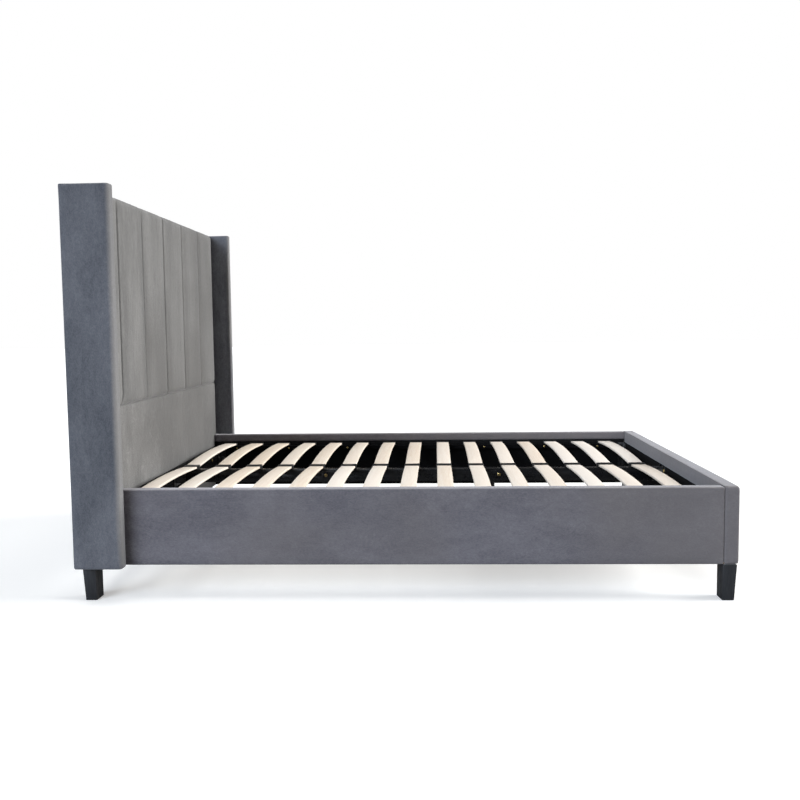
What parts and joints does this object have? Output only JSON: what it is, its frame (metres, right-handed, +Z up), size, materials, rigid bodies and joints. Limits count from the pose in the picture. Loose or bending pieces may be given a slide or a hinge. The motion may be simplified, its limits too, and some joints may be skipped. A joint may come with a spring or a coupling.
{
  "type": "upholstered bed",
  "caption": "Double upholstered bed with a winged, vertically channelled headboard, padded rails, tapered legs and a bowed slat base in plastic holders on a centre beam.",
  "frame": {"origin": "on the floor under the middle of the bed's overall box", "axes": "+X to the right seen from the foot, +Y towards the headboard, +Z up"},
  "size_m": [1.57, 2.033, 1.281],
  "materials": {
    "headboard_velvet": "short pile velvet, matte with a soft sheen",
    "frame_velvet": "short pile velvet, matte with a soft sheen",
    "back_cloth": "flat velvet over the back",
    "black_lining": "matte non-woven",
    "birch_slats": "sanded birch ply",
    "black_plastic": "fine moulded",
    "black_wood": "black satin paint",
    "brass_fixings": "yellow passivated",
    "zinc_fixings": "zinc plated",
    "black_steel": "black powder coat",
    "frame_wood": "raw pine and plywood"
  },
  "bodies": {
    "bed_frame": {"beam_hangers": "black_steel", "bracket_bolts": "zinc_fixings", "centre_beam": "black_steel", "centre_leg_foot": "black_steel", "centre_leg_head": "black_steel", "centre_slat_holders": "black_plastic", "cleat_screws": "brass_fixings", "corner_brackets": "black_steel", "cross_rail_bolts": "brass_fixings", "foot_rail_board": "frame_wood", "foot_rail_cover": "frame_velvet", "foot_rail_lining": "black_lining", "hanger_bolts": "brass_fixings", "head_cross_rail": "black_wood", "headboard_back_cover": "back_cloth", "headboard_battens": "frame_wood", "headboard_channel_pad": "headboard_velvet", "headboard_deck_rail": "frame_wood", "headboard_face_board": "frame_wood", "headboard_lower_pad": "headboard_velvet", "headboard_seam_rail": "frame_wood", "headboard_stile_left": "frame_wood", "headboard_stile_right": "frame_wood", "headboard_top_rail": "frame_wood", "leg_foot_left": "black_wood", "leg_foot_right": "black_wood", "leg_head_left": "black_wood", "leg_head_right": "black_wood", "leg_insert_foot": "black_plastic", "leg_insert_head": "black_plastic", "leg_plates": "zinc_fixings", "leg_studs": "zinc_fixings", "saddle_bolts": "brass_fixings", "saddle_nuts": "brass_fixings", "side_cleat_left": "black_wood", "side_cleat_right": "black_wood", "side_holders_left": "black_plastic", "side_holders_right": "black_plastic", "side_rail_board_left": "frame_wood", "side_rail_board_right": "frame_wood", "side_rail_cover_left": "frame_velvet", "side_rail_cover_right": "frame_velvet", "side_rail_lining_left": "black_lining", "side_rail_lining_right": "black_lining", "slats_left": "birch_slats", "slats_right": "birch_slats", "wing_bolts": "zinc_fixings", "wing_core_left": "frame_wood", "wing_core_right": "frame_wood", "wing_cover_left": "frame_velvet", "wing_cover_right": "frame_velvet"},
    "levelling_foot_head": {"levelling_foot_head": "black_plastic"},
    "levelling_foot_foot": {"levelling_foot_foot": "black_plastic"}
  },
  "joints": [
    {"name": "head_foot_screw", "type": "slide", "parent": "bed_frame", "child": "levelling_foot_head", "axis": [0, 0, -1], "range_m": [-0.01, 0.015]},
    {"name": "foot_foot_screw", "type": "slide", "parent": "bed_frame", "child": "levelling_foot_foot", "axis": [0, 0, -1], "range_m": [-0.01, 0.015]}
  ]
}
